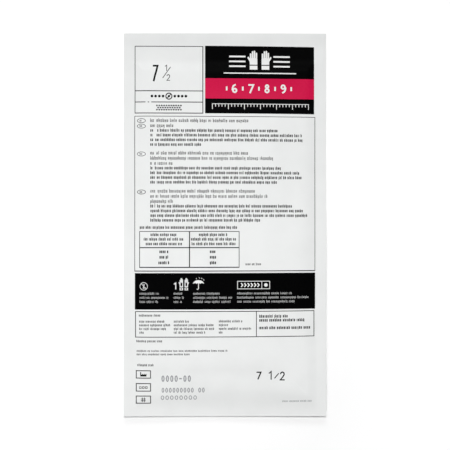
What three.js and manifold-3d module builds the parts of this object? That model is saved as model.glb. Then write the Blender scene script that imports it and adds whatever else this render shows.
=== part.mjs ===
// A sealed flat packet of surgical gloves, lying on its back with its printed face up.
// Millimetres, +Z up, +Y towards the head of the print. The origin is on the surface that the packet
// lies on, under the middle of its outline.
import * as THREE from "three";
import { mergeVertices } from "three/addons/utils/BufferGeometryUtils.js";
import Module from "manifold-3d";

// Outer packet: two paper webs sealed to each other along all four sides
const packetWidth = 148;
const packetLength = 280;
const webThickness = 0.2;
const webGap = 0.1; // clearance between the two webs where they are sealed
const sideSeal = 6; // width of the sealed band along each long side
const endSeal = 8; // width of the sealed band across each end
const peelLip = 11; // unsealed lip at the head, past the seal, by which the webs are pulled apart
const lipParting = 0.9; // how far the webs stand apart at the lip's edge
const sideRoom = 7; // free width between the seal and the wallet, on each side
const endRoom = 8; // free length between the seal and the wallet, at each end

// How the packet lies: flat under its contents, its rim a little off the surface and softly waved
const rimLift = 1.7;
const sideRise = 20.4; // distance over which the back web comes down from the rim to the surface
const endRise = 17.6; // the same at each end
const rimWave = 0.45;
const rimWavesAlong = 2.4; // waves in the packet's length
const rimWavesAcross = 0.8; // waves in the packet's width

// Inner wallet: one sheet folded like a book round the gloves, its spine on the left
const leafThickness = 0.15;
const layerGap = 0.1; // clearance between each layer and the next
const sideShoulder = 34; // distance over which the contents rise from the wallet's side to full height
const endShoulder = 44; // the same from the wallet's ends

// Gloves: a pair laid flat on each other, cuffs at the foot, fingers towards the head
const gloveThickness = 2.2; // one glove with its folded cuff and trapped air, at its thickest
const gloveEdge = 0.2; // one glove where it is pressed flat at the wallet's edge
const cuffEndRoom = 6; // from the wallet's foot to the cuffs
const cuffWidth = 88;
const cuffLength = 92; // the straight stretch up to the root of the thumb
const palmWidth = 92;
const palmLength = 64; // from the end of the cuff to the roots of the fingers
const fingerLength = 72; // the middle finger from its root
const fingerWidth = 21;
const gloveShift = -7; // the palm's middle from the packet's middle, which leaves room for the thumb
const cornerRadius = 10; // roundness of the palm's corners
const digitRoot = 14; // how far a digit runs back into the palm

// The digits of one glove. across is the root's place from the palm's middle and up its place from the
// cuff's end, as shares of palmWidth and palmLength. width and length are shares of fingerWidth and
// fingerLength. lean is in degrees towards the thumb.
const digits = [
  { digit: "little", across: -0.37, up: 0.93, width: 0.86, length: 0.76, lean: -9 },
  { digit: "ring", across: -0.13, up: 1.0, width: 0.97, length: 0.95, lean: -3 },
  { digit: "middle", across: 0.12, up: 1.0, width: 1.0, length: 1.0, lean: 1 },
  { digit: "index", across: 0.36, up: 0.95, width: 0.97, length: 0.92, lean: 6 },
  { digit: "thumb", across: 0.4, up: 0.3, width: 1.12, length: 0.82, lean: 21 },
];

// How full the packet is along its length, from its foot at 0 to its head at 1, as a share of full height
const fullness = [
  { along: 0.0, share: 0.78 },
  { along: 0.3, share: 0.95 },
  { along: 0.55, share: 1.0 },
  { along: 0.8, share: 0.82 },
  { along: 1.0, share: 0.6 },
];

// Soft dents and folds of the printed face. across is a share of packetWidth and along a share of
// packetLength, both from the middle. reach and width are half sizes as shares of packetWidth, along and
// across the fold. turn is in degrees from the width towards the length. depth is a share of foldDepth,
// below 0 for a ridge.
const foldDepth = 0.8;
const folds = [
  { place: "below the head", across: -0.1, along: 0.3, turn: 4, reach: 0.3, width: 0.085, depth: 0.7 },
  { place: "beside the thumb", across: 0.27, along: 0.07, turn: 74, reach: 0.28, width: 0.1, depth: 0.6 },
  { place: "cuff ridge", across: 0.14, along: -0.39, turn: 118, reach: 0.22, width: 0.09, depth: -0.75 },
  { place: "by the ridge", across: 0.29, along: -0.31, turn: 118, reach: 0.2, width: 0.09, depth: 0.8 },
  { place: "left of the palm", across: -0.3, along: -0.13, turn: 96, reach: 0.34, width: 0.09, depth: 0.5 },
  { place: "over the cuffs", across: -0.16, along: -0.3, turn: 12, reach: 0.22, width: 0.08, depth: 0.55 },
];

// Cells of the lattice on which every layer is drawn
const shoulderCells = 5;
const middleCellsAcross = 5;
const middleCellsAlong = 9;
const lipCells = 2;
const digitSegments = 5; // sides of a digit's round tip

// Lines worked out from the sizes above
const halfWidth = packetWidth / 2;
const halfLength = packetLength / 2;
const sealX = halfWidth - sideSeal;
const sealFootY = endSeal - halfLength;
const sealHeadY = halfLength - peelLip - endSeal;
const walletX = sealX - sideRoom;
const walletFootY = sealFootY + endRoom;
const walletHeadY = sealHeadY - endRoom;
const cuffFootY = walletFootY + cuffEndRoom;
const palmFootY = cuffFootY + cuffLength;

// Height of what lies between the webs, at the wallet's edge and where the contents are full
const layersHeight = 2 * leafThickness + 5 * layerGap - webGap;
const edgeFill = layersHeight + 2 * gloveEdge;
const fullFill = layersHeight + 2 * gloveThickness;

const clamp = (value) => Math.min(Math.max(value, 0), 1);

// A smooth step from 0 to 1
const smooth = (value) => {
  const share = clamp(value);
  return share * share * (3 - 2 * share);
};

// A pillow's rise from 0 to 1, steep at its edge and level at its end
const pillow = (value) => 1 - (1 - clamp(value)) ** 2;

// How far a point lies inside the wallet's outline, below 0 outside it
const insideAcross = (x) => walletX - Math.abs(x);
const insideAlong = (y) => Math.min(y - walletFootY, walletHeadY - y);

// 0 at the seal, 1 from the wallet's edge inwards
function edgeRamp(x, y) {
  const across = (sealX - Math.abs(x)) / sideRoom;
  const foot = (y - sealFootY) / endRoom;
  const head = (sealHeadY - y) / endRoom;
  return clamp(Math.min(across, foot, head));
}

// 0 at the wallet's edge, 1 past the shoulder
const crown = (x, y) => pillow(insideAcross(x) / sideShoulder) * pillow(insideAlong(y) / endShoulder);

function fullnessAt(y) {
  const along = clamp(y / packetLength + 0.5);
  const next = Math.max(fullness.findIndex((row) => row.along >= along), 1);
  const low = fullness[next - 1];
  const high = fullness[next];
  return low.share + (high.share - low.share) * smooth((along - low.along) / (high.along - low.along));
}

// How far the folds lower the printed face
function foldAt(x, y) {
  let depth = 0;
  for (const fold of folds) {
    const right = x - fold.across * packetWidth;
    const up = y - fold.along * packetLength;
    const turn = THREE.MathUtils.degToRad(fold.turn);
    const alongFold = (right * Math.cos(turn) + up * Math.sin(turn)) / (fold.reach * packetWidth);
    const acrossFold = (up * Math.cos(turn) - right * Math.sin(turn)) / (fold.width * packetWidth);
    depth += fold.depth * foldDepth * Math.exp(-(alongFold ** 2) - acrossFold ** 2);
  }
  return depth;
}

// Height of what lies between the two webs
function fill(x, y) {
  const rise = (fullFill - edgeFill) * fullnessAt(y) - foldAt(x, y);
  return edgeFill * edgeRamp(x, y) + rise * crown(x, y);
}

// Underside of the back web: on the surface under the contents, raised and waved at the rim
function backUnder(x, y) {
  const inner = smooth(insideAcross(x) / sideRise) * smooth(insideAlong(y) / endRise);
  const phase = 2 * Math.PI * ((rimWavesAlong * y) / packetLength + (rimWavesAcross * x) / packetWidth);
  return (1 - inner) * (rimLift + rimWave * Math.sin(phase));
}

const lipRise = (y) => lipParting * smooth((y - halfLength + peelLip) / peelLip);
const backOver = (x, y) => backUnder(x, y) + webThickness;
const frontUnder = (x, y) => backOver(x, y) + webGap + fill(x, y) + lipRise(y);
const frontOver = (x, y) => frontUnder(x, y) + webThickness;

// The wallet and the gloves, layer on layer
const walletUnder = (x, y) => backOver(x, y) + layerGap;
const lowerLeafOver = (x, y) => walletUnder(x, y) + leafThickness;
const walletOver = (x, y) => frontUnder(x, y) - layerGap;
const upperLeafUnder = (x, y) => walletOver(x, y) - leafThickness;
const pairMiddle = (x, y) => (lowerLeafOver(x, y) + upperLeafUnder(x, y)) / 2;
const rightUnder = (x, y) => lowerLeafOver(x, y) + layerGap;
const rightOver = (x, y) => pairMiddle(x, y) - layerGap / 2;
const leftUnder = (x, y) => pairMiddle(x, y) + layerGap / 2;
const leftOver = (x, y) => upperLeafUnder(x, y) - layerGap;

// Even steps from one line to another, without the first
function steps(from, to, count) {
  return Array.from({ length: count }, (_, i) => from + ((to - from) * (i + 1)) / count);
}

// Lines of the lattice inside the wallet's outline, from its left or foot edge to its right or head edge
function walletLines(low, high, shoulder, middleCells) {
  return [
    low,
    ...steps(low, low + shoulder, shoulderCells),
    ...steps(low + shoulder, high - shoulder, middleCells),
    ...steps(high - shoulder, high, shoulderCells),
  ];
}

const spineX = leafThickness - walletX; // inner face of the wallet's spine
const walletAcross = walletLines(-walletX, walletX, sideShoulder, middleCellsAcross);
walletAcross.splice(1, 0, spineX);
const walletAlong = walletLines(walletFootY, walletHeadY, endShoulder, middleCellsAlong);
const packetAcross = [-halfWidth, -sealX, ...walletAcross, sealX, halfWidth];
const packetAlong = [
  -halfLength,
  sealFootY,
  ...walletAlong,
  sealHeadY,
  halfLength - peelLip,
  ...steps(halfLength - peelLip, halfLength, lipCells),
];

// Gives the underside the same cell diagonals as the upper side, so that stacked layers never cross
function matchDiagonals(geometry) {
  const index = geometry.index;
  const underside = geometry.groups[5];
  for (let at = underside.start; at < underside.start + underside.count; at += 6) {
    const [a, b, d, , c] = [0, 1, 2, 3, 4].map((step) => index.getX(at + step));
    [a, b, c, a, c, d].forEach((corner, step) => index.setX(at + step, corner));
  }
}

// A closed sheet between two heights, on the lattice lines given
function sheet(across, along, under, over) {
  const geometry = new THREE.BoxGeometry(1, 1, 1, across.length - 1, along.length - 1, 1);
  matchDiagonals(geometry);
  const position = geometry.attributes.position;
  for (let i = 0; i < position.count; i += 1) {
    const x = across[Math.round((position.getX(i) + 0.5) * (across.length - 1))];
    const y = along[Math.round((position.getY(i) + 0.5) * (along.length - 1))];
    const height = position.getZ(i) > 0 ? over(x, y) : under(x, y);
    position.setXYZ(i, x, y, height);
  }
  return merged(geometry);
}

// Only positions are kept, so that shared corners become one vertex
function merged(geometry) {
  geometry.deleteAttribute("normal");
  geometry.deleteAttribute("uv");
  geometry.clearGroups();
  return mergeVertices(geometry);
}

const wasm = await Module();
wasm.setup();

function toSolid(geometry) {
  const vertProperties = new Float32Array(geometry.attributes.position.array);
  const triVerts = new Uint32Array(geometry.index.array);
  return new wasm.Manifold(new wasm.Mesh({ numProp: 3, vertProperties, triVerts }));
}

function toGeometry(solid) {
  const mesh = solid.getMesh();
  const geometry = new THREE.BufferGeometry();
  geometry.setAttribute("position", new THREE.BufferAttribute(mesh.vertProperties, mesh.numProp));
  geometry.setIndex(new THREE.BufferAttribute(mesh.triVerts, 1));
  geometry.computeVertexNormals();
  return geometry;
}

// The wallet: one sheet, hollowed from its free edge to its spine and out through both ends
function walletGeometry() {
  const outside = sheet(walletAcross, walletAlong, walletUnder, walletOver);
  const overrun = sideRoom / 2;
  const hollowAcross = [...walletAcross.slice(1), walletX + overrun];
  const hollowAlong = [walletFootY - overrun, ...walletAlong, walletHeadY + overrun];
  const atWallet = (height) => (x, y) => {
    const nearX = Math.min(x, walletX);
    const nearY = Math.min(Math.max(y, walletFootY), walletHeadY);
    return height(nearX, nearY);
  };
  const hollow = sheet(hollowAcross, hollowAlong, atWallet(lowerLeafOver), atWallet(upperLeafUnder));
  return toGeometry(toSolid(outside).subtract(toSolid(hollow)));
}

// An outline made thick enough to pass through the whole packet
function prism(shape, segments) {
  const depth = 2 * (fullFill + rimLift);
  const settings = { depth, bevelEnabled: false, curveSegments: segments };
  const geometry = new THREE.ExtrudeGeometry(shape, settings);
  geometry.translate(0, 0, -depth / 4);
  return geometry;
}

// A rectangle with round corners, standing on its foot
function roundedShape(width, length, radius) {
  const right = width / 2 - radius;
  const shape = new THREE.Shape();
  shape.absarc(right, radius, radius, -Math.PI / 2, 0, false);
  shape.absarc(right, length - radius, radius, 0, Math.PI / 2, false);
  shape.absarc(-right, length - radius, radius, Math.PI / 2, Math.PI, false);
  shape.absarc(-right, radius, radius, Math.PI, 1.5 * Math.PI, false);
  shape.closePath();
  return shape;
}

function digitSolid(row) {
  const width = row.width * fingerWidth;
  const length = row.length * fingerLength + digitRoot;
  const shape = new THREE.Shape();
  shape.moveTo(-width / 2, 0);
  shape.lineTo(width / 2, 0);
  shape.absarc(0, length - width / 2, width / 2, 0, Math.PI, false);
  shape.closePath();
  const geometry = prism(shape, digitSegments);
  geometry.translate(0, -digitRoot, 0);
  geometry.rotateZ(-THREE.MathUtils.degToRad(row.lean));
  geometry.translate(gloveShift + row.across * palmWidth, palmFootY + row.up * palmLength, 0);
  return toSolid(merged(geometry));
}

// The outline of one glove: cuff, palm and five digits joined
function gloveOutline() {
  const cuff = prism(roundedShape(cuffWidth, cuffLength + cornerRadius, cornerRadius / 4), 1);
  cuff.translate(gloveShift, cuffFootY, 0);
  const palm = prism(roundedShape(palmWidth, palmLength, cornerRadius), 3);
  palm.translate(gloveShift, palmFootY, 0);
  let outline = toSolid(merged(cuff)).add(toSolid(merged(palm)));
  for (const row of digits) {
    outline = outline.add(digitSolid(row));
  }
  return outline;
}

// A glove is its outline cut from its own layer of the contents
function gloveGeometry(outline, under, over) {
  const layer = toSolid(sheet(walletAcross.slice(1), walletAlong, under, over));
  return toGeometry(layer.intersect(outline));
}

const paper = { color: 0xeeefec, roughness: 0.62, metalness: 0 };
const tissue = { color: 0xf4f2ea, roughness: 0.8, metalness: 0 };
const latex = { color: 0xa39a73, roughness: 0.7, metalness: 0 };

const outline = gloveOutline();
const pieces = [
  ["front_web", sheet(packetAcross, packetAlong, frontUnder, frontOver), paper],
  ["back_web", sheet(packetAcross, packetAlong, backUnder, backOver), paper],
  ["inner_wallet", walletGeometry(), tissue],
  ["glove_left", gloveGeometry(outline, leftUnder, leftOver), latex],
  ["glove_right", gloveGeometry(outline, rightUnder, rightOver), latex],
];

const packet = new THREE.Group();
for (const [name, geometry, finish] of pieces) {
  const piece = new THREE.Mesh(geometry, new THREE.MeshStandardMaterial(finish));
  piece.name = name;
  packet.add(piece);
}

export default packet;
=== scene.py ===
"""The looks of a sealed flat packet of surgical gloves, lying printed face up on a pale floor."""

import math
import random

import bpy
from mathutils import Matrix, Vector, noise
from mathutils.geometry import delaunay_2d_cdt

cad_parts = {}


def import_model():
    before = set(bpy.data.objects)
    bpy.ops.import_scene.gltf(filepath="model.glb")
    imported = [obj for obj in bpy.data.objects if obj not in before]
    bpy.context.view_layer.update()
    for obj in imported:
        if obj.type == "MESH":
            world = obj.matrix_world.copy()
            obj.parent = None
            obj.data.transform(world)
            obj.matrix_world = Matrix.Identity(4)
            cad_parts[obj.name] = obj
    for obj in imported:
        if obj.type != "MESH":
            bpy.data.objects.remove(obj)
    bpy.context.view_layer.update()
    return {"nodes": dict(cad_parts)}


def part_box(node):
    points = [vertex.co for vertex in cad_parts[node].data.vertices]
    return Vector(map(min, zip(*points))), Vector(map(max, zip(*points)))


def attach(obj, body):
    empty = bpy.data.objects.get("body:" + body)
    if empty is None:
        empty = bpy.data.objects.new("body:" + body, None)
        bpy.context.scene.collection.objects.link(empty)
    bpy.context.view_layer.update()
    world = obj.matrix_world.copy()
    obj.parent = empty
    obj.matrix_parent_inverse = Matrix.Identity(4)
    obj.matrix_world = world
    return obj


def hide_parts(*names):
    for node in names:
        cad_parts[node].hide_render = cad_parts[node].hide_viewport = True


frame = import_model()

MM = 0.001  # sizes below are in millimetres, and the scene is in metres
random.seed(8)

# Packet sizes, from the frame

WEB_LOW, WEB_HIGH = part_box("front_web")
WALLET_LOW, WALLET_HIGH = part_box("inner_wallet")
WIDTH = (WEB_HIGH[0] - WEB_LOW[0]) / MM
LENGTH = (WEB_HIGH[1] - WEB_LOW[1]) / MM
HALF_WIDTH = WIDTH / 2
HALF_LENGTH = LENGTH / 2
WALLET_X = WALLET_HIGH[0] / MM
WALLET_FOOT_Y = WALLET_LOW[1] / MM
WALLET_HEAD_Y = WALLET_HIGH[1] / MM

# Form of the packet, the same sizes that its solids were built from

WEB_THICKNESS = 0.2
SIDE_ROOM = 7.0  # free width between the seal and the wallet, on each side
END_ROOM = 8.0  # free length between the seal and the wallet, at each end
PEEL_LIP = 11.0
LIP_PARTING = 0.9
RIM_LIFT = 1.7
SIDE_RISE = 20.4
END_RISE = 17.6
RIM_WAVE = 0.45
RIM_WAVES_ALONG = 2.4
RIM_WAVES_ACROSS = 0.8
SIDE_SHOULDER = 34.0
END_SHOULDER = 44.0
FULL_FILL = 5.1
EDGE_FILL = 1.1
FOLD_DEPTH = 0.8

# How full the packet is along its length, from its foot at 0 to its head at 1
FULLNESS = [
    {"along": 0.0, "share": 0.78},
    {"along": 0.3, "share": 0.95},
    {"along": 0.55, "share": 1.0},
    {"along": 0.8, "share": 0.82},
    {"along": 1.0, "share": 0.6},
]

# Places are shares of the width and length from the middle, reach and width shares of the width
FOLDS = [
    {"across": -0.1, "along": 0.3, "turn": 4, "reach": 0.3, "width": 0.085, "depth": 0.7},
    {"across": 0.27, "along": 0.07, "turn": 74, "reach": 0.28, "width": 0.1, "depth": 0.6},
    {"across": 0.14, "along": -0.39, "turn": 118, "reach": 0.22, "width": 0.09, "depth": -0.75},
    {"across": 0.29, "along": -0.31, "turn": 118, "reach": 0.2, "width": 0.09, "depth": 0.8},
    {"across": -0.3, "along": -0.13, "turn": 96, "reach": 0.34, "width": 0.09, "depth": 0.5},
    {"across": -0.16, "along": -0.3, "turn": 12, "reach": 0.22, "width": 0.08, "depth": 0.55},
]

# What this script sets for itself

SEAL_GAP = 0.02  # what is left between the two webs where they are sealed, less than in the solids
FOOT_ROOM = 13.0  # length over which the front web leaves the seal at the foot, gentler than at the head
FOOT_SWELL = 0.75  # how far it is drawn taut over the hollow between the wallet's foot and the cuffs
FOOT_SWELL_Y = -106.0
FOOT_SWELL_REACH = 12.0
PUCKER_HEIGHT = 0.13  # small gathers that run in from the seal
PUCKER_PITCH = 11.0
PUCKER_RISE = 9.0
PUCKER_REACH = 26.0
PUCKER_SIDE_PLACE = 3.7  # each side and each end takes its gathers from its own place in the noise
PUCKER_END_PLACE = 9.1
COCKLE_HEIGHT = 0.16  # broad unevenness all over
COCKLE_SIZE = 34.0
COCKLE_STRETCH = 0.6  # cockles are longer along the packet than across it
COCKLE_PLACE = 4.2  # where in the noise they are taken from


def clamp(value):
    return min(max(value, 0.0), 1.0)


def smooth(value):
    """A smooth step from 0 to 1."""
    share = clamp(value)
    return share * share * (3.0 - 2.0 * share)


def pillow(value):
    """A rise from 0 to 1, steep at its edge and level at its end."""
    return 1.0 - (1.0 - clamp(value)) ** 2


def inside_across(x):
    """How far a place lies inside the wallet's sides, below 0 outside them."""
    return WALLET_X - abs(x)


def inside_along(y):
    """How far a place lies inside the wallet's ends, below 0 outside them."""
    return min(y - WALLET_FOOT_Y, WALLET_HEAD_Y - y)


def edge_ramp(x, y):
    """0 at the seal, 1 from the wallet's edge inwards, leaving the seal without a crease."""
    across = inside_across(x) / SIDE_ROOM + 1.0
    along = inside_along(y) / (END_ROOM if y > 0.0 else FOOT_ROOM) + 1.0
    share = clamp(min(across, along))
    return share * share * (2.0 - share)


def crown(x, y):
    """0 at the wallet's edge, 1 past the shoulder."""
    return pillow(inside_across(x) / SIDE_SHOULDER) * pillow(inside_along(y) / END_SHOULDER)


def fullness(y):
    along = clamp(y / LENGTH + 0.5)
    after = next(i for i, row in enumerate(FULLNESS) if i and row["along"] >= along)
    low, high = FULLNESS[after - 1], FULLNESS[after]
    step = smooth((along - low["along"]) / (high["along"] - low["along"]))
    return low["share"] + (high["share"] - low["share"]) * step


def fold_depth(x, y):
    """How far the folds lower the printed face."""
    depth = 0.0
    for fold in FOLDS:
        right = x - fold["across"] * WIDTH
        up = y - fold["along"] * LENGTH
        turn = math.radians(fold["turn"])
        along = (right * math.cos(turn) + up * math.sin(turn)) / (fold["reach"] * WIDTH)
        across = (up * math.cos(turn) - right * math.sin(turn)) / (fold["width"] * WIDTH)
        depth += fold["depth"] * FOLD_DEPTH * math.exp(-along * along - across * across)
    return depth


def fill(x, y):
    """Height of what lies between the two webs."""
    rise = (FULL_FILL - EDGE_FILL) * fullness(y) - fold_depth(x, y)
    return EDGE_FILL * edge_ramp(x, y) + rise * crown(x, y)


def puckers(x, y):
    """Small gathers that run in from the seal over the shoulder and die out on the crown."""
    from_side = SIDE_ROOM + inside_across(x)
    from_end = END_ROOM + inside_along(y)
    from_seal = min(from_side, from_end)
    weight = smooth(from_seal / PUCKER_RISE) * (1.0 - smooth(from_seal / PUCKER_REACH))
    along_edge = y if from_side < from_end else x
    side_place = math.copysign(PUCKER_SIDE_PLACE, x)
    end_place = math.copysign(PUCKER_END_PLACE, y)
    wave = noise.noise(Vector((along_edge / PUCKER_PITCH, side_place, end_place)))
    return PUCKER_HEIGHT * (1.0 + wave) * weight


def cockles(x, y):
    place = Vector((x / COCKLE_SIZE, COCKLE_STRETCH * y / COCKLE_SIZE, COCKLE_PLACE))
    return COCKLE_HEIGHT * (1.0 + noise.noise(place)) * edge_ramp(x, y)


def foot_swell(x, y):
    away = (y - FOOT_SWELL_Y) / FOOT_SWELL_REACH
    return FOOT_SWELL * math.exp(-away * away) * pillow(inside_across(x) / SIDE_SHOULDER)


def lip_rise(y):
    return LIP_PARTING * smooth((y - HALF_LENGTH + PEEL_LIP) / PEEL_LIP)


def back_under(x, y):
    """Underside of the back web: on the floor under the contents, raised and waved at the rim."""
    inner = smooth(inside_across(x) / SIDE_RISE) * smooth(inside_along(y) / END_RISE)
    phase = 2.0 * math.pi * (RIM_WAVES_ALONG * y / LENGTH + RIM_WAVES_ACROSS * x / WIDTH)
    return (1.0 - inner) * (RIM_LIFT + RIM_WAVE * math.sin(phase))


def back_over(x, y):
    return back_under(x, y) + WEB_THICKNESS


def front_under(x, y):
    relief = puckers(x, y) + cockles(x, y) + foot_swell(x, y)
    return back_over(x, y) + SEAL_GAP + fill(x, y) + relief + lip_rise(y)


def front_over(x, y):
    return front_under(x, y) + WEB_THICKNESS


# The print, drawn flat

# Across, left and right are measured from the packet's left edge, and down, top and foot from its head
PAPER, BLACK, CRIMSON, GREY = range(4)
PRINT_TAPER = 0.0105  # the print runs slightly together towards the packet's right edge
LONGEST_EDGE = 2.0  # longer edges of the print are cut up, so that they follow the paper's form
SHARPEST_MITRE = 0.5  # least cosine at a stroke's corner, which keeps a sharp corner from running out


def placed(across, down):
    """A place of the print, in the packet's own frame."""
    up = (HALF_LENGTH - down) * (1.0 - PRINT_TAPER * (across / WIDTH) ** 2)
    return (across - HALF_WIDTH, up)


class Print:
    """Closed shapes in painting order, each with its ink. A later shape covers an earlier one."""

    def __init__(self):
        self.points = []
        self.shapes = []
        self.inks = []

    def polygon(self, points, ink):
        """A closed shape through the points, whichever way round they run."""
        doubled_area = sum(a[0] * b[1] - b[0] * a[1] for a, b in zip(points, points[1:] + points[:1]))
        ordered = points if doubled_area < 0 else points[::-1]
        start = len(self.points)
        for (across, down), (next_across, next_down) in zip(ordered, ordered[1:] + ordered[:1]):
            run = math.hypot(next_across - across, next_down - down)
            cuts = max(math.ceil(run / LONGEST_EDGE), 1)
            for i in range(cuts):
                share = i / cuts
                cut_across = across + (next_across - across) * share
                cut_down = down + (next_down - down) * share
                self.points.append(placed(cut_across, cut_down))
        self.shapes.append(list(range(start, len(self.points))))
        self.inks.append(ink)

    def bar(self, left, top, right, foot, ink):
        self.polygon([(left, top), (right, top), (right, foot), (left, foot)], ink)

    def box(self, left, top, right, foot, line, ink, inside=PAPER):
        """An outlined box whose line runs inside its outer edge."""
        self.bar(left, top, right, foot, ink)
        self.bar(left + line, top + line, right - line, foot - line, inside)

    def oval(self, across, down, half_width, half_height, ink, sides=20):
        turns = [2.0 * math.pi * i / sides for i in range(sides)]
        rim = [(across + half_width * math.cos(t), down + half_height * math.sin(t)) for t in turns]
        self.polygon(rim, ink)

    def dot(self, across, down, radius, ink, sides):
        self.oval(across, down, radius, radius, ink, sides)

    def ring(self, across, down, half_width, half_height, line, ink, inside, sides=20):
        self.oval(across, down, half_width, half_height, ink, sides)
        self.oval(across, down, half_width - line, half_height - line, inside, sides)

    def stroke(self, points, line, ink):
        """A line of even width along an open path, with mitred corners."""
        left, right = [], []
        for i, (across, down) in enumerate(points):
            before = points[max(i - 1, 0)]
            after = points[min(i + 1, len(points) - 1)]
            run = Vector((across - before[0], down - before[1]))
            on = Vector((after[0] - across, after[1] - down))
            run = run.normalized() if run.length else on.normalized()
            on = on.normalized() if on.length else run
            middle = (run + on).normalized()
            normal = Vector((-middle.y, middle.x))
            reach = 0.5 * line / max(normal.dot(Vector((-run.y, run.x))), SHARPEST_MITRE)
            left.append((across + normal.x * reach, down + normal.y * reach))
            right.append((across - normal.x * reach, down - normal.y * reach))
        self.polygon(left + right[::-1], ink)


page = Print()

# Rows of small print

# These are plain marks, not letters: stems with short level strokes. pitch is the width of one mark with
# its gap, height a low mark's height, rise how far a tall one stands over it, line a stem's width and bar
# the height of a level stroke.
STYLES = {
    "plain": {"pitch": 1.5, "height": 1.9, "rise": 0.7, "line": 0.34, "bar": 0.32},
    "bold": {"pitch": 1.2, "height": 1.8, "rise": 0.5, "line": 0.38, "bar": 0.5},
    "small": {"pitch": 1.12, "height": 1.42, "rise": 0.42, "line": 0.3, "bar": 0.25},
    "value": {"pitch": 1.2, "height": 1.9, "rise": 0.4, "line": 0.5, "bar": 0.5},
    "tiny": {"pitch": 1.05, "height": 1.15, "rise": 0.3, "line": 0.28, "bar": 0.12},
    "white": {"pitch": 1.45, "height": 1.35, "rise": 0.35, "line": 0.2, "bar": 0.06},
    "strong": {"pitch": 1.3, "height": 1.85, "rise": 0.4, "line": 0.42, "bar": 0.56},
}
NARROW = {"share": 0.22, "width": 0.6}  # marks of one stem, and their width as a share of the pitch
GAP = 0.3  # free width after a mark, as a share of the pitch
WORD_GAP = 0.62  # further free width after a word
LEAST_ROOM = 0.8  # a mark is begun only where the row has this share of the pitch left
TALL_BELOW = 0.24  # first stems whose draw is lower stand over the row
HANGING_ABOVE = 0.93  # stems whose draw is higher hang below it
HANGING_DEPTH = 0.8  # how far, as a share of the rise
BAR_LEVELS = ((0.0, 1.0), (0.15, 0.85), (0.0, 0.65), (0.35, 1.0), (0.25,), (0.8,))  # 0 is the top

# A strip of the left side where the ink has come off in places
WORN = {"left": 20.6, "right": 23.6, "top": 60.0, "foot": 130.0, "share": 0.55}


def worn(across, down):
    inside = WORN["left"] < across < WORN["right"] and WORN["top"] < down < WORN["foot"]
    return inside and random.random() < WORN["share"]


def mark(across, base, style, ink):
    """One mark, standing on the line base. Gives the width that it takes up with its gap."""
    size = STYLES[style]
    narrow = random.random() < NARROW["share"]
    width = size["pitch"] * (NARROW["width"] if narrow else 1.0)
    if worn(across, base):
        return width
    line, height = size["line"], size["height"]
    reach = width - size["pitch"] * GAP - line
    for stem in [across] if narrow else [across, across + reach]:
        draw = random.random()
        tall = draw < TALL_BELOW and stem == across
        top = base - height - (size["rise"] if tall else 0.0)
        foot = base + (size["rise"] * HANGING_DEPTH if draw > HANGING_ABOVE else 0.0)
        page.bar(stem, top, stem + line, foot, ink)
    if not narrow:
        for level in random.choice(BAR_LEVELS):
            bar_top = base - height + (height - size["bar"]) * level
            page.bar(across + line, bar_top, across + reach, bar_top + size["bar"], ink)
    return width


def row(left, right, down, style, ink=BLACK, word=(2, 9)):
    """A row of words of marks from left to right, its low marks centred on down."""
    size = STYLES[style]
    base = down + size["height"] / 2.0
    across = left
    while across + size["pitch"] * LEAST_ROOM <= right:
        for _ in range(random.randint(*word)):
            if across + size["pitch"] * LEAST_ROOM > right:
                break
            across += mark(across, base, style, ink)
        across += size["pitch"] * WORD_GAP


def block_of_rows(columns, top, pitch, style, ink=BLACK):
    """Columns of rows. Each column has its left edge, and where each of its rows ends."""
    for column in columns:
        for i, right in enumerate(column["rights"]):
            row(column["left"], right, top + i * pitch, style, ink)


# Numerals for the size, as paths in a box one high: across, up
NUMERALS = {
    "1": [(0.02, 0.78), (0.3, 1.0), (0.3, 0.0)],
    "2": [
        (0.04, 0.74),
        (0.1, 0.92),
        (0.27, 1.0),
        (0.45, 0.91),
        (0.5, 0.72),
        (0.4, 0.5),
        (0.02, 0.03),
        (0.55, 0.03),
    ],
    "7": [(0.01, 0.95), (0.3, 0.95), (0.23, 0.65), (0.13, 0.3), (0.06, 0.0)],
}


def numeral(digit, left, foot, height, line, ink=BLACK):
    page.stroke([(left + x * height, foot - up * height) for x, up in NUMERALS[digit]], line, ink)


SIZE_BOX = {"left": 8.0, "top": 9.0, "right": 58.1, "foot": 58.5}
SIZE_BOX_LINE = 0.48
SIZE_BOX_RULE = 0.62  # the rules across the box, its foot and its right side are heavier
SIZE_BOX_RULES = (41.6, 49.8)
SIZE_SIGNS_MIDDLE = 33.0
BARE_SPOTS = (15.9, 18.6)  # where the lower rule has come off


def size_box():
    """The outlined box with the size, and under it the signs for a glove without powder and for grip."""
    left, right, foot = SIZE_BOX["left"], SIZE_BOX["right"], SIZE_BOX["foot"]
    page.box(**SIZE_BOX, line=SIZE_BOX_LINE, ink=BLACK)
    for down in (*SIZE_BOX_RULES, foot - SIZE_BOX_RULE):
        page.bar(left, down, right, down + SIZE_BOX_RULE, BLACK)
    page.bar(right - SIZE_BOX_RULE, SIZE_BOX["top"], right, foot, BLACK)
    for spot in BARE_SPOTS:
        page.bar(left=spot, top=49.4, right=spot + 1.6, foot=50.7, ink=PAPER)
    numeral("7", left=21.1, foot=34.9, height=12.0, line=1.35)
    numeral("1", left=30.0, foot=27.4, height=4.4, line=0.5)
    page.stroke([(28.4, 32.6), (34.2, 24.3)], line=0.5, ink=BLACK)
    numeral("2", left=31.4, foot=34.4, height=4.4, line=0.5)
    no_powder_sign(SIZE_SIGNS_MIDDLE, down=45.8)
    grip_sign(SIZE_SIGNS_MIDDLE, down=54.2)


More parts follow.
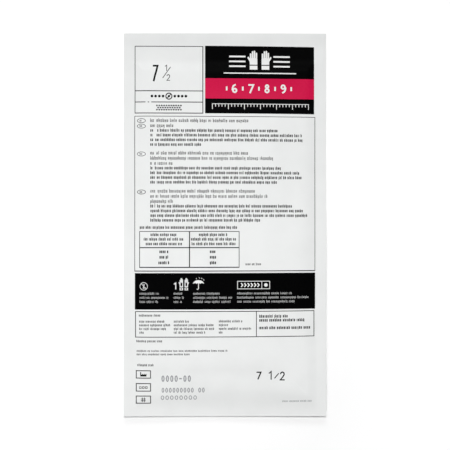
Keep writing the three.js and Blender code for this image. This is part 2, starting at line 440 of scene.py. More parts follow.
def title_block():
    """The black block with its crimson band: gloves between bars, a scale of sizes and a ruler."""
    left, right = 59.4, 139.2
    first_bar, bar_height, bar_pitch = 15.7, 1.2, 3.6
    page.bar(left, top=8.65, right=right, foot=58.3, ink=BLACK)
    page.bar(left, top=32.5, right=right, foot=47.35, ink=CRIMSON)
    glove_pair(middle=99.2, foot=25.9, height=14.0, spread=0.31, ink=PAPER, ground=BLACK)
    for i in range(3):
        down = first_bar + i * bar_pitch
        for bar_left, bar_right in ((77.0, 89.0), (109.4, 121.4)):
            page.bar(bar_left, down, bar_right, down + bar_height, PAPER)
    page.bar(left=73.0, top=28.2, right=126.0, foot=29.0, ink=PAPER)
    size_scale(middle=98.8, foot=43.2)
    ruler(left=64.5, right=134.8, top=51.0)


def no_powder_sign(middle, down):
    """Grains in a row, crossed out in the middle, for a glove without powder."""
    grain, crossed_grain, nearest, pitch = 1.0, 0.9, 4.3, 2.7
    ring, ring_line, cross, cross_line = 2.6, 0.75, 1.7, 0.6
    for i in range(4):
        away = nearest + i * pitch
        page.dot(middle - away, down, grain, BLACK, sides=10)
        page.dot(middle + away, down, grain, BLACK, sides=10)
    page.ring(middle, down, ring, ring, ring_line, BLACK, PAPER)
    page.dot(middle, down, crossed_grain, BLACK, sides=8)
    page.stroke([(middle - cross, down + cross), (middle + cross, down - cross)], cross_line, BLACK)


def grip_sign(middle, down):
    """Three rows of dots, each set into the gaps of the next, for a glove with a grip texture."""
    pitch, row_pitch, radius = 1.75, 0.87, 0.64  # row_pitch is a share of the pitch
    for level, count in ((-1, 11), (0, 10), (1, 11)):
        for i in range(count):
            across = middle + (i - (count - 1) / 2.0) * pitch
            page.dot(across, down + level * pitch * row_pitch, radius, BLACK, sides=8)


def ruler(left, right, top):
    """A plain ruler without numbers: a line with short and long strokes under it."""
    strokes, long_every = 30, 5
    edge, line, short_stroke, long_stroke = 0.42, 0.48, 2.3, 4.1
    page.bar(left, top, right + line, top + edge, PAPER)
    for i in range(strokes + 1):
        across = left + (right - left) * i / strokes
        length = short_stroke if i % long_every else long_stroke
        page.bar(across, top, across + line, top + length, PAPER)


def size_scale(middle, foot):
    """Plain numbers for whole sizes, with a short upright between them for each half size."""
    pitch, height, line = 11.8, 6.6, 1.2
    upright_low, upright_high = 0.28, 0.72
    for i, digit in enumerate("6789"):
        digit_sign(digit, middle + (i - 1.5) * pitch, foot, height, line, PAPER, CRIMSON)
    for i in range(5):
        at = middle + (i - 2.0) * pitch
        top, bottom = foot - height * upright_high, foot - height * upright_low
        page.bar(at - line / 2, top, at + line / 2, bottom, PAPER)


# The curved stroke of a 6, up from its ring, in half heights of that ring
CURVED_STROKE = [(-0.94, -0.1), (-0.86, -1.0), (-0.5, -1.75), (0.35, -2.25)]


def digit_sign(digit, middle, foot, height, line, ink, ground):
    """One numeral of the scale: 8 of two rings, 6 and 9 of a ring and a curved stroke, 7 of a path."""
    low, high = height * 0.29, height * 0.25  # half heights of the lower and the upper ring
    low_width, high_width = 0.98, 0.95  # their widths, as shares of their heights
    arm = 0.28  # half the width of a 7, as a share of its height
    tail = 0.4  # how far left of the middle its foot stands, as a share of that half width
    if digit == "8":
        page.ring(middle, foot - height + high, high * high_width, high, line, ink, ground)
        page.ring(middle, foot - low, low * low_width, low, line, ink, ground)
    if digit == "7":
        half = height * arm
        top = foot - height + line / 2
        page.stroke([(middle - half, top), (middle + half, top), (middle - half * tail, foot)], line, ink)
    if digit in "69":
        turn = 1.0 if digit == "6" else -1.0
        centre = foot - height / 2.0 + turn * (height / 2.0 - low)
        stem = [(middle + turn * a * low * low_width, centre + turn * d * low) for a, d in CURVED_STROKE]
        page.stroke(stem, line, ink)
        page.ring(middle, centre, low * low_width, low, line, ink, ground)


# The glove sign: across in shares of its half width, up in shares of its height
CUFF_LINE = {"up": 0.26, "width": 0.05}
HOLLOWS = [{"low": 0.33, "high": 0.62}, {"low": 0.06, "high": 0.16}]
HOLLOW_WIDTH = 0.5
PALM = {"up": 0.55, "knuckles_up": 0.5, "knuckles_rise": 0.12}
FINGER = {"width": 0.21, "root_up": 0.45, "tip_rise": 0.04, "straight": 0.03}
FINGERS = [
    {"across": -0.75, "up": 0.86},
    {"across": -0.25, "up": 0.98},
    {"across": 0.25, "up": 1.0},
    {"across": 0.75, "up": 0.9},
]
THUMB = [{"across": 0.6, "up": 0.36}, {"across": 1.45, "up": 0.66}]
THUMB_WIDTH = 0.45
GLOVE_WIDTH = {"of_spread": 0.68, "most": 0.2}  # half of a glove's width, as a share of its height


def glove_pair(middle, foot, height, spread, ink, ground, hollow=False):
    """Two flat gloves side by side, thumbs outwards, each with a line at its cuff."""
    for side in (-1, 1):
        centre = middle + side * height * spread
        half = height * min(spread * GLOVE_WIDTH["of_spread"], GLOVE_WIDTH["most"])
        glove_sign(centre, foot, height, half, side, ink)
        cuff = foot - height * CUFF_LINE["up"]
        page.bar(centre - half, cuff, centre + half, cuff + height * CUFF_LINE["width"], ground)
        if hollow:
            inset = half * HOLLOW_WIDTH
            for part in HOLLOWS:
                top, bottom = foot - height * part["high"], foot - height * part["low"]
                page.bar(centre - inset, top, centre + inset, bottom, ground)


def glove_sign(middle, foot, height, half, side, ink):
    """One flat glove: a cuff, a palm and five digits. half is half of its width without the thumb."""
    page.bar(middle - half, foot - height * PALM["up"], middle + half, foot, ink)
    knuckles = foot - height * PALM["knuckles_up"]
    page.oval(middle, knuckles, half, height * PALM["knuckles_rise"], ink, sides=12)
    for finger in FINGERS:
        across = middle + finger["across"] * half
        width = half * FINGER["width"]
        root = foot - height * FINGER["root_up"]
        top = foot - height * (finger["up"] - FINGER["straight"])
        tip = foot - height * (finger["up"] - FINGER["tip_rise"])
        page.bar(across - width, top, across + width, root, ink)
        page.oval(across, tip, width, height * FINGER["tip_rise"], ink, sides=8)
    thumb = [(middle + side * half * end["across"], foot - height * end["up"]) for end in THUMB]
    page.stroke(thumb, half * THUMB_WIDTH, ink)


# The three sections of text in the main frame. down is the first row's middle, ovals the middles of
# the ovals beside them. plain and bold give where each row ends.
SECTIONS = [
    {
        "down": 63.8,
        "ovals": (63.8, 67.8),
        "plain": (93.4, 36.6),
        "bold": (113.5, 131.2, 131.5, 58.4),
    },
    {
        "down": 87.6,
        "ovals": (88.1,),
        "plain": (91.4, 110.7, 37.8),
        "bold": (115.0, 129.8, 131.2, 112.7),
    },
    {
        "down": 115.4,
        "ovals": (115.9,),
        "plain": (96.3, 105.6, 36.6),
        "bold": (123.6, 131.2, 135.2, 100.5),
    },
]
PLAIN_PITCH = 3.75
BOLD_PITCH = 3.43
TEXT_LEFT = 19.4
OVAL = {"across": 12.9, "half_width": 3.2, "half_height": 1.7, "line": 0.4}
OVAL_ROW = {"left": 11.6, "right": 14.6, "style": "tiny", "word": (2, 2)}
MAIN_FRAME = {"left": 7.8, "right": 140.0, "foot": 174.0}


def sections():
    """The main frame, whose foot is heavier than its other lines, and the text in it."""
    page.box(**MAIN_FRAME, top=60.3, line=0.42, ink=BLACK)
    page.bar(**MAIN_FRAME, top=173.35, ink=BLACK)
    for section in SECTIONS:
        down = section["down"]
        for oval_down in section["ovals"]:
            page.ring(down=oval_down, **OVAL, ink=BLACK, inside=PAPER)
            row(down=oval_down, **OVAL_ROW)
        for right in section["plain"]:
            row(TEXT_LEFT, right, down, "plain")
            down += PLAIN_PITCH
        down -= PLAIN_PITCH - BOLD_PITCH
        for right in section["bold"]:
            row(TEXT_LEFT, right, down, "bold")
            down += BOLD_PITCH


# The ruled table. left and right give where the row begins and ends in each of its two columns.
TABLE = {"left": 11.35, "top": 144.5, "right": 84.5, "foot": 171.3}
TABLE_LINE = 0.47
TABLE_RULE = 0.72
TABLE_MIDDLE = 47.7
TABLE_HEAD_FOOT = 156.2
TABLE_ROWS = [
    {"down": 147.2, "style": "bold", "left": (19.5, 39.4), "right": (54.9, 76.5)},
    {"down": 150.5, "style": "bold", "left": (14.6, 44.5), "right": (49.2, 82.4)},
    {"down": 153.9, "style": "bold", "left": (16.1, 43.3), "right": (49.6, 82.3)},
    {"down": 159.6, "style": "value", "left": (26.1, 33.4), "right": (62.9, 67.8)},
    {"down": 163.6, "style": "value", "left": (26.1, 33.4), "right": (62.9, 67.8)},
    {"down": 167.7, "style": "value", "left": (25.3, 33.6), "right": (62.9, 67.8)},
]


def table():
    """The ruled table at the foot of the main frame, with a row over it and one beside it."""
    left, top, right, foot = TABLE["left"], TABLE["top"], TABLE["right"], TABLE["foot"]
    row(left=11.7, right=83.0, down=141.9, style="bold")
    page.box(**TABLE, line=TABLE_LINE, ink=BLACK)
    page.bar(left, foot - TABLE_RULE, right, foot, BLACK)
    page.bar(TABLE_MIDDLE, top, TABLE_MIDDLE + TABLE_RULE, foot, BLACK)
    page.bar(left, TABLE_HEAD_FOOT, right, TABLE_HEAD_FOOT + TABLE_RULE, BLACK)
    for line in TABLE_ROWS:
        for side in ("left", "right"):
            row(*line[side], line["down"], line["style"], word=(3, 6))
    row(left=88.8, right=101.3, down=168.8, style="small")


WHITE_TEXT = {"top": 190.2, "pitch": 3.0}
WHITE_COLUMNS = [
    {"left": 11.6, "rights": (25.8, 33.2, 26.1)},
    {"left": 36.6, "rights": (44.4, 45.0, 42.8)},
    {"left": 50.8, "rights": (70.4, 80.2, 79.3)},
    {"left": 82.9, "rights": (123.9, 136.5, 126.7)},
]


def lower_band():
    """The black band with its signs and rows of white print."""
    page.bar(left=8.1, top=175.15, right=140.0, foot=201.8, ink=BLACK)
    crossed_sign()
    numeral("1", left=36.6, foot=187.0, height=4.7, line=0.75, ink=PAPER)
    glove_pair(middle=43.9, foot=187.7, height=9.0, spread=0.2, ink=PAPER, ground=BLACK, hollow=True)
    umbrella(middle=54.6, top=180.3)
    arrows_sign()
    block_of_rows(WHITE_COLUMNS, **WHITE_TEXT, style="white", ink=PAPER)


def crossed_sign():
    """A ring with a bent line in it, crossed out, for what is used only once."""
    middle, down, radius, ring_line, line = 14.6, 184.8, 2.95, 0.38, 0.36
    page.ring(middle, down, radius, radius, ring_line, PAPER, BLACK, sides=24)
    page.stroke([(12.6, 182.7), (16.6, 186.9)], line, PAPER)
    page.stroke([(14.0, 183.6), (15.1, 183.6), (14.1, 186.2), (15.3, 186.2)], line, PAPER)


def arrows_sign():
    """A ruled box with a row of arrow heads, and a dot in a box of its own."""
    left, top, right, foot, line = 82.9, 181.0, 106.8, 187.0, 0.42
    middle, divider = 184.0, 100.6
    first_tip, pitch, depth, half, arrow_line = 86.9, 2.4, 1.2, 1.4, 0.75
    page.box(left, top, right, foot, line, PAPER, BLACK)
    page.bar(divider, top, divider + line, foot, PAPER)
    for i in range(6):
        tip = first_tip + i * pitch
        arrow = [(tip - depth, middle - half), (tip, middle), (tip - depth, middle + half)]
        page.stroke(arrow, arrow_line, PAPER)
    page.dot(across=103.8, down=middle, radius=1.3, ink=PAPER, sides=16)


def umbrella(middle, top):
    """An open umbrella under drops."""
    half, rise, segments = 4.0, 2.7, 12
    turns = [math.pi * i / segments for i in range(segments + 1)]
    canopy = [(middle - half * math.cos(t), top + rise - rise * math.sin(t)) for t in turns]
    page.polygon(canopy, PAPER)
    scallop_pitch, scallop_half, scallop_height = 0.64, 0.3, 0.55
    for i in range(3):
        across = middle + (i - 1) * half * scallop_pitch
        page.oval(across, top + rise, half * scallop_half, scallop_height, BLACK, sides=10)
    stem_and_hook = [(0.0, rise * 0.5), (0.0, 6.2), (-0.5, 6.8), (-1.3, 6.5)]
    page.stroke([(middle + across, top + down) for across, down in stem_and_hook], line=0.5, ink=PAPER)
    drop_across, drop_down, drop_line = 0.5, 0.9, 0.32
    for across, down in ((-1.7, -1.5), (0.4, -2.1), (2.1, -1.7), (3.6, -0.7)):
        start = (middle + across, top + down)
        end = (start[0] + drop_across, start[1] + drop_down)
        page.stroke([start, end], drop_line, PAPER)


ADDRESS_TEXT = {"top": 210.6, "pitch": 2.7}
ADDRESS_COLUMNS = [
    {"left": 11.3, "rights": (31.0, 34.2, 31.5, 16.2)},
    {"left": 36.6, "rights": (47.9, 66.4, 66.1, 60.0)},
    {"left": 69.5, "rights": (86.7, 77.7, 94.1, 72.8)},
]
STRONG_ROWS = [
    {"left": 99.0, "right": 120.0, "down": 207.1},
    {"left": 99.0, "right": 133.1, "down": 210.0},
    {"left": 98.8, "right": 136.5, "down": 215.6},
]


def addresses():
    """The ruled box under the black band."""
    page.box(left=8.3, top=203.0, right=139.4, foot=222.2, line=0.55, ink=BLACK)
    page.bar(left=96.6, top=203.1, right=97.15, foot=222.2, ink=BLACK)
    row(left=11.1, right=26.9, down=206.2, style="small")
    block_of_rows(ADDRESS_COLUMNS, **ADDRESS_TEXT, style="small")
    for line in STRONG_ROWS:
        row(**line, style="strong")


FOOT_ROWS = [
    {"left": 9.2, "right": 28.6, "down": 225.0, "style": "small"},
    {"left": 9.4, "right": 76.5, "down": 232.1, "style": "tiny"},
    {"left": 9.4, "right": 48.2, "down": 234.6, "style": "tiny"},
    {"left": 9.9, "right": 22.8, "down": 242.5, "style": "small"},
]
LABEL_MIDDLE = 14.3
LABEL_BOXES = [
    {"top": 246.2, "foot": 252.2},
    {"top": 255.6, "foot": 261.7},
    {"top": 264.7, "foot": 270.6},
]


def foot_print():
    """The rows, label boxes and stamped zeros under the ruled boxes, and the size once more."""
    for line in FOOT_ROWS:
        row(**line)
    for box in LABEL_BOXES:
        page.box(left=8.8, right=19.9, **box, line=0.62, ink=BLACK)
    works_sign(LABEL_MIDDLE, foot=250.7)
    batch_sign(LABEL_MIDDLE, down=258.8)
    number_sign(LABEL_MIDDLE, down=267.8)
    zeros("0000-00", left=27.1, down=252.3, pitch=3.2, height=5.0, line=0.9)
    zeros("000000000 00", left=27.3, down=260.8, pitch=2.68, height=3.8, line=0.68)
    zeros("00000000", left=26.6, down=266.3, pitch=3.4, height=3.4, line=0.6)
    digit_sign("7", middle=98.6, foot=253.3, height=5.7, line=0.9, ink=BLACK, ground=PAPER)
    numeral("1", left=105.9, foot=253.6, height=5.9, line=0.85)
    page.stroke([(110.1, 252.7), (113.3, 249.0)], line=0.65, ink=BLACK)
    numeral("2", left=114.3, foot=254.1, height=5.9, line=0.9)
    row(left=115.9, right=138.3, down=269.8, style="tiny", ink=GREY)


def works_sign(middle, foot):
    """A works with a chimney and a saw-tooth roof, for where it was made."""
    left, chimney_right, first_tooth = -2.3, -1.6, -0.3
    tooth, eaves, ridge, chimney = 1.3, 1.1, 2.1, 3.2
    roof = [(left, 0.0), (left, -chimney), (chimney_right, -chimney), (chimney_right, -eaves)]
    for i in range(3):
        roof += [(tooth * i + first_tooth, -ridge), (tooth * i + first_tooth, -eaves)]
    roof.append((tooth * 2 + first_tooth, 0.0))
    page.polygon([(middle + across, foot + down) for across, down in roof], BLACK)


def batch_sign(middle, down):
    """Three like squares, for a batch."""
    pitch, half, line = 2.2, 0.85, 0.4
    for i in (-1, 0, 1):
        across = middle + i * pitch
        page.box(across - half, down - half, across + half, down + half, line, BLACK)


def number_sign(middle, down):
    """Two upright and two level strokes."""
    upright = {"away": 0.75, "half_width": 0.25, "half_length": 1.7}
    level = {"away": 0.65, "half_width": 0.22, "half_length": 1.8}
    for i in (-1, 1):
        across, reach, half = middle + i * upright["away"], upright["half_length"], upright["half_width"]
        page.bar(across - half, down - reach, across + half, down + reach, BLACK)
        at, reach, half = down + i * level["away"], level["half_length"], level["half_width"]
        page.bar(middle - reach, at - half, middle + reach, at + half, BLACK)


def zeros(pattern, left, down, pitch, height, line):
    """Stamped zeros in grey, where a pack has its date and batch. A space leaves a gap."""
    zero_width, dash_width = 0.38, 0.3  # half widths, as shares of the pitch
    for i, sign in enumerate(pattern):
        middle = left + pitch * (i + 0.5)
        if sign == "0":
            page.ring(middle, down, pitch * zero_width, height * 0.5, line, GREY, PAPER, sides=8)
        if sign == "-":
            half = pitch * dash_width
            page.bar(middle - half, down - line / 2, middle + half, down + line / 2, GREY)


size_box()
title_block()
sections()
table()
lower_band()
addresses()
foot_print()

# Meshes

GRID = 2.0  # spacing of the web's own points
UNDERSIDE_GRID = 4.0
SKIP_CELL = 0.6  # the print's own points stand in for the web's wherever they are this close
MERGE_GAP = 0.001  # points of the print that are closer than this become one
SLOPE_STEP = 0.25  # distance over which a surface's slope is measured


def outline(spacing):
    """Points round the packet's outline, anticlockwise, evenly spaced on each side."""
    across = max(round(WIDTH / spacing), 1)
    along = max(round(LENGTH / spacing), 1)
    xs = [WIDTH * i / across - HALF_WIDTH for i in range(across)]
    ys = [LENGTH * i / along - HALF_LENGTH for i in range(along)]
    foot = [(x, -HALF_LENGTH) for x in xs]
    right = [(HALF_WIDTH, y) for y in ys]
    head = [(-x, HALF_LENGTH) for x in xs]
    left = [(-HALF_WIDTH, -y) for y in ys]
    return foot + right + head + left


def cell_of(x, y):
    return (math.floor(x / SKIP_CELL), math.floor(y / SKIP_CELL))


def cells_along(points, shapes):
    """The cells that the edges of the shapes pass through."""
    cells = set()
    for shape in shapes:
        for a, b in zip(shape, shape[1:] + shape[:1]):
            (ax, ay), (bx, by) = points[a], points[b]
            steps = math.ceil(math.hypot(bx - ax, by - ay) / (SKIP_CELL / 2)) + 1
            for i in range(steps):
                cells.add(cell_of(ax + (bx - ax) * i / steps, ay + (by - ay) * i / steps))
    return cells


def inner_grid(spacing, points=(), shapes=()):
    """Points inside the outline, evenly spaced, apart from those that lie close to a shape's edge."""
    across = round(WIDTH / spacing)
    along = round(LENGTH / spacing)
    near = cells_along(points, shapes)
    free = []
    for i in range(1, across):
        for j in range(1, along):
            x = WIDTH * i / across - HALF_WIDTH
            y = LENGTH * j / along - HALF_LENGTH
            cell = cell_of(x, y)
            around = ((cell[0] + a, cell[1] + b) for a in (-1, 0, 1) for b in (-1, 0, 1))
            if not any(place in near for place in around):
                free.append((x, y))
    return free


def slope_normal(height, x, y):
    """The upward normal of a surface given by its height."""
    along_x = height(x + SLOPE_STEP, y) - height(x - SLOPE_STEP, y)
    along_y = height(x, y + SLOPE_STEP) - height(x, y - SLOPE_STEP)
    return Vector((-along_x, -along_y, 2.0 * SLOPE_STEP)).normalized()


def triangulate(border, free, shapes_points=(), shapes=()):
    """Flat triangles with the border's points first, and for each the shapes that hold it."""
    points = [Vector(p) for p in [*border, *shapes_points, *free]]
    shift = len(border)
    faces = [list(range(shift))] + [[i + shift for i in shape] for shape in shapes]
    found = delaunay_2d_cdt(points, [], faces, 0, MERGE_GAP, True)
    corners, _, triangles, origins, _, holders = found
    place_of = {}
    for at, origin in enumerate(origins):
        for source in origin:
            place_of[source] = at
    rim = [place_of[i] for i in range(shift)]
    return corners, triangles, rim, holders


def web_object(name, over, under, printed, materials, slot):
    """A thin closed sheet between two heights. Only the printed one shows the print on its upper side."""
    border = outline(GRID)
    if printed:
        free = inner_grid(GRID, page.points, page.shapes)
        top = triangulate(border, free, page.points, page.shapes)
    else:
        top = triangulate(border, inner_grid(GRID))
    top_points, top_faces, top_rim, holders = top
    bottom_points, bottom_faces, bottom_rim, _ = triangulate(border, inner_grid(UNDERSIDE_GRID))
    vertices = [(x * MM, y * MM, over(x, y) * MM) for x, y in top_points]
    shift = len(vertices)
    vertices += [(x * MM, y * MM, under(x, y) * MM) for x, y in bottom_points]
    faces = [list(face) for face in top_faces]
    inks = [page.inks[max(held) - 1] if max(held) else PAPER for held in holders]
    faces += [[i + shift for i in reversed(face)] for face in bottom_faces]
    for i in range(len(border)):
        after = (i + 1) % len(border)
        a, b = top_rim[i], top_rim[after]
        c, d = bottom_rim[after] + shift, bottom_rim[i] + shift
        faces.append([a, d, c, b])
    mesh = bpy.data.meshes.new(name)
    mesh.from_pydata(vertices, [], faces)
    for material in materials:
        mesh.materials.append(material)
    if printed:
        mesh.polygons.foreach_set("material_index", inks + [PAPER] * (len(faces) - len(inks)))
    mesh.update()
    mesh.shade_smooth()
    normals = [slope_normal(over, x, y) for x, y in top_points]
    normals += [-slope_normal(under, x, y) for x, y in bottom_points]
    set_normals(mesh, normals, len(top_faces) + len(bottom_faces))
    web = bpy.data.objects.new(name, mesh)
    bpy.context.collection.objects.link(web)
    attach(web, "root")
    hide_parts(slot["node"])


def set_normals(mesh, normals, sheet_faces):
    """Normals from the heights, so that narrow triangles of the print leave no mark. The rim stays flat."""
    loops = []
    for face in mesh.polygons:
        if face.index < sheet_faces:
            loops += [normals[vertex] for vertex in face.vertices]
        else:
            loops += [face.normal.copy()] * len(face.vertices)
    mesh.normals_split_custom_set(loops)


# Materials


def node(tree, kind, **values):
    made = tree.nodes.new(kind)
    for name, value in values.items():
        setattr(made, name, value)
    return made


def new_material(name, roughness, specular):
    material = bpy.data.materials.new(name)
    material.use_nodes = True
    shader = material.node_tree.nodes["Principled BSDF"]
    shader.inputs["Roughness"].default_value = roughness
    shader.inputs["Specular IOR Level"].default_value = specular
    return material, material.node_tree, shader


def noise_node(tree, scale, detail=4.0):
    """Noise in the object's own metres."""
    place = node(tree, "ShaderNodeTexCoord")
    made = node(tree, "ShaderNodeTexNoise")
    made.inputs["Scale"].default_value = scale
    made.inputs["Detail"].default_value = detail
    tree.links.new(place.outputs["Object"], made.inputs["Vector"])
    return made


def colour_ramp(tree, source, low, high, start=0.35, end=0.65):
    ramp = node(tree, "ShaderNodeValToRGB")
    ramp.color_ramp.elements[0].position = start
    ramp.color_ramp.elements[1].position = end
    ramp.color_ramp.elements[0].color = (*low, 1.0)
    ramp.color_ramp.elements[1].color = (*high, 1.0)
    tree.links.new(source, ramp.inputs["Fac"])
    return ramp


def value_range(tree, source, low, high, start=0.3, end=0.7):
    spread = node(tree, "ShaderNodeMapRange")
    spread.inputs["From Min"].default_value = start
    spread.inputs["From Max"].default_value = end
    spread.inputs["To Min"].default_value = low
    spread.inputs["To Max"].default_value = high
    tree.links.new(source, spread.inputs["Value"])
    return spread


def add_bump(tree, shader, source, strength, distance):
    bump = node(tree, "ShaderNodeBump")
    bump.inputs["Strength"].default_value = strength
    bump.inputs["Distance"].default_value = distance
    tree.links.new(source, bump.inputs["Height"])
    tree.links.new(bump.outputs["Normal"], shader.inputs["Normal"])


def add_gloss(tree, shader, source, roughness):
    """Roughness that varies a little round its value."""
    less, more = 0.06, 0.08
    gloss = value_range(tree, source, roughness - less, roughness + more)
    tree.links.new(gloss.outputs["Result"], shader.inputs["Roughness"])


PAPER_COLOUR = (0.752, 0.762, 0.758)
PAPER_SHADE = (0.73, 0.74, 0.736)
CRIMSON_COLOUR = (0.57, 0.0078, 0.062)
CRIMSON_SHADE = (0.54, 0.0068, 0.056)
BLACK_COLOUR = (0.0008, 0.0008, 0.0009)
BLACK_SHADE = (0.0016, 0.0017, 0.0018)
GREY_COLOUR = (0.22, 0.225, 0.24)
GREY_SHADE = (0.34, 0.345, 0.36)
WALLET_COLOUR = (0.78, 0.76, 0.7)
WALLET_SHADE = (0.74, 0.72, 0.66)
LATEX_COLOUR = (0.41, 0.35, 0.2)
LATEX_SHADE = (0.33, 0.28, 0.15)


def paper_material(name, low, high, roughness):
    """Smooth coated paper: faint clouding, and fibres that show only in the light."""
    material, tree, shader = new_material(name, roughness, specular=0.3)
    cloud = noise_node(tree, scale=60.0)
    fibre = noise_node(tree, scale=1800.0, detail=6.0)
    ramp = colour_ramp(tree, cloud.outputs["Fac"], low, high)
    tree.links.new(ramp.outputs["Color"], shader.inputs["Base Color"])
    add_gloss(tree, shader, fibre.outputs["Fac"], roughness)
    add_bump(tree, shader, fibre.outputs["Fac"], strength=0.12, distance=0.00006)
    return material


def ink_material(name, low, high, roughness, specular, scale=900.0):
    """Printing ink, not quite even."""
    material, tree, shader = new_material(name, roughness, specular)
    spots = noise_node(tree, scale, detail=5.0)
    ramp = colour_ramp(tree, spots.outputs["Fac"], low, high)
    tree.links.new(ramp.outputs["Color"], shader.inputs["Base Color"])
    add_gloss(tree, shader, spots.outputs["Fac"], roughness)
    add_bump(tree, shader, spots.outputs["Fac"], strength=0.08, distance=0.00004)
    return material


def latex_material(name, low, high):
    """Matt latex with a fine grip texture."""
    material, tree, shader = new_material(name, roughness=0.62, specular=0.35)
    cloud = noise_node(tree, scale=90.0)
    grain = noise_node(tree, scale=1300.0, detail=5.0)
    ramp = colour_ramp(tree, cloud.outputs["Fac"], low, high)
    tree.links.new(ramp.outputs["Color"], shader.inputs["Base Color"])
    add_bump(tree, shader, grain.outputs["Fac"], strength=0.5, distance=0.0002)
    return material


def give_material(name, material):
    """Puts a material on a node of the frame that stays as it is."""
    for place in frame["nodes"][name].material_slots:
        place.material = material


web_paper = paper_material("web_paper", PAPER_SHADE, PAPER_COLOUR, roughness=0.6)
black_ink = ink_material("black_ink", BLACK_COLOUR, BLACK_SHADE, roughness=0.4, specular=0.008)
crimson_ink = ink_material("crimson_ink", CRIMSON_SHADE, CRIMSON_COLOUR, roughness=0.45, specular=0.05)
grey_ink = ink_material("grey_ink", GREY_COLOUR, GREY_SHADE, roughness=0.6, specular=0.2, scale=1500.0)
wallet_paper = paper_material("wallet_paper", WALLET_SHADE, WALLET_COLOUR, roughness=0.75)
latex = latex_material("latex", LATEX_SHADE, LATEX_COLOUR)

give_material("inner_wallet", wallet_paper)
give_material("glove_left", latex)
give_material("glove_right", latex)

web_object(
    "front_web_printed",
    front_over,
    front_under,
    printed=True,
    materials=[web_paper, black_ink, crimson_ink, grey_ink],
    slot={"node": "front_web", "slot": "printed_paper"},
)
web_object(
    "back_web_plain",
    back_over,
    back_under,
    printed=False,
    materials=[web_paper],
    slot={"node": "back_web", "slot": "plain_paper"},
)

# Floor, lights and camera

FLOOR_HALF = 60.0  # metres
FLOOR_WHITE = (0.92, 0.92, 0.92, 1.0)
# Painted light on the floor: it glows more away from the packet's foot to make up for the lamps' falloff,
# and less near the foot, which leaves the floor there a little darker
GLOW_COLOUR = (1.0, 1.0, 1.0, 1.0)
GLOW_MIDDLE = (0.0, -0.7 * HALF_LENGTH * MM, 0.0)
GLOW = {"low": 0.02, "high": 0.15, "start": 0.09, "end": 0.18}  # start and end are metres from GLOW_MIDDLE

# share is how bright white paper lying flat gets from the light, and angle the sun's width in degrees
SUNS = [
    {"name": "key", "place": (-0.06, 0.92, 2.22), "angle": 8.0, "share": 0.46, "glossy": True},
    {"name": "window", "place": (0.0, 3.2, 1.2), "angle": 16.0, "share": 0.1, "glossy": True},
    {"name": "front", "place": (-1.2, -2.6, 1.2), "angle": 16.0, "share": 0.045, "glossy": False},
]
OVERHEAD = {"place": (-0.05, -0.016, 0.38), "aim": (-0.03, -0.035, 0.0), "size": 0.25, "share": 0.43}

CAMERA_LENS = 135.0
CAMERA_SENSOR = 36.0
CAMERA_YAW = -0.8  # degrees
PHOTO_WIDTH_PIXELS = 450.0
PACKET_WIDTH_PIXELS = 202.2

SKY_HORIZON = (0.9, 0.9, 0.9)
SKY_OVERHEAD = (0.08, 0.08, 0.08)
SKY_FADE = {"start": 0.12, "end": 0.45}


def floor():
    """A white floor that glows a little away from the packet's foot, to stay white across the picture."""
    mesh = bpy.data.meshes.new("floor")
    turns = ((-1, -1), (1, -1), (1, 1), (-1, 1))
    mesh.from_pydata([(FLOOR_HALF * x, FLOOR_HALF * y, 0.0) for x, y in turns], [], [(0, 1, 2, 3)])
    plane = bpy.data.objects.new("floor", mesh)
    bpy.context.collection.objects.link(plane)
    material, tree, shader = new_material("floor_white", roughness=0.9, specular=0.0)
    shader.inputs["Base Color"].default_value = FLOOR_WHITE
    # painted light: emission weakest near the packet's foot and growing away from it
    shader.inputs["Emission Color"].default_value = GLOW_COLOUR
    place = node(tree, "ShaderNodeTexCoord")
    away = node(tree, "ShaderNodeVectorMath", operation="DISTANCE")
    tree.links.new(place.outputs["Object"], away.inputs[0])
    away.inputs[1].default_value = GLOW_MIDDLE
    glow = value_range(tree, away.outputs["Value"], **GLOW)
    tree.links.new(glow.outputs["Result"], shader.inputs["Emission Strength"])
    mesh.materials.append(material)


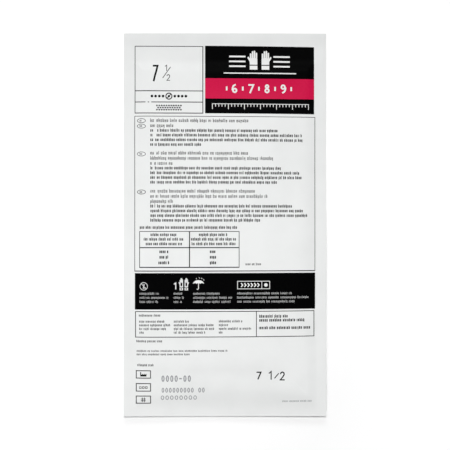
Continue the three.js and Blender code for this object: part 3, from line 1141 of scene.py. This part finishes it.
def area_light(name, place, aim, size, share):
    """A round light that leaves no glint. share is taken at the middle of the floor."""
    toward = -Vector(place)
    axis = Vector(aim) - Vector(place)
    slant = -toward.normalized().z * axis.normalized().dot(toward.normalized())
    data = bpy.data.lights.new(name, "AREA")
    data.shape = "DISK"
    data.size = size
    data.energy = share * math.pi ** 2 * toward.length_squared / slant
    light = bpy.data.objects.new(name, data)
    light.location = place
    light.rotation_euler = axis.to_track_quat("-Z", "Y").to_euler()
    light.visible_camera = False
    light.visible_glossy = False
    bpy.context.collection.objects.link(light)


def sun_light(name, place, angle, share, glossy):
    """A far light, even over the whole floor, that comes from place."""
    away = Vector(place)
    data = bpy.data.lights.new(name, "SUN")
    data.angle = math.radians(angle)
    data.energy = share * math.pi / away.normalized().z
    light = bpy.data.objects.new(name, data)
    light.location = place
    light.rotation_euler = (-away).to_track_quat("-Z", "Y").to_euler()
    light.visible_glossy = glossy
    bpy.context.collection.objects.link(light)


def camera():
    """Nearly square to the printed face, from as far as makes the packet as wide as in the photo."""
    width_in_frame = PHOTO_WIDTH_PIXELS / PACKET_WIDTH_PIXELS * WIDTH * MM
    distance = width_in_frame * CAMERA_LENS / CAMERA_SENSOR
    yaw = math.radians(CAMERA_YAW)
    data = bpy.data.cameras.new("camera")
    data.lens = CAMERA_LENS
    data.sensor_width = CAMERA_SENSOR
    eye = bpy.data.objects.new("camera", data)
    eye.location = (distance * math.sin(yaw), 0.0, distance * math.cos(yaw) + RIM_LIFT * MM)
    eye.rotation_euler = (0.0, yaw, 0.0)
    bpy.context.collection.objects.link(eye)
    bpy.context.scene.camera = eye


def world():
    """A sky that is pale at the horizon and dim overhead, where the lights are."""
    sky = bpy.data.worlds.new("sky")
    sky.use_nodes = True
    tree = sky.node_tree
    place = node(tree, "ShaderNodeTexCoord")
    split = node(tree, "ShaderNodeSeparateXYZ")
    tree.links.new(place.outputs["Generated"], split.inputs["Vector"])
    ramp = colour_ramp(tree, split.outputs["Z"], SKY_HORIZON, SKY_OVERHEAD, **SKY_FADE)
    tree.links.new(ramp.outputs["Color"], tree.nodes["Background"].inputs["Color"])
    bpy.context.scene.world = sky


floor()
for sun in SUNS:
    sun_light(**sun)
area_light("overhead", **OVERHEAD)
camera()
world()
bpy.context.scene.view_settings.view_transform = "Standard"
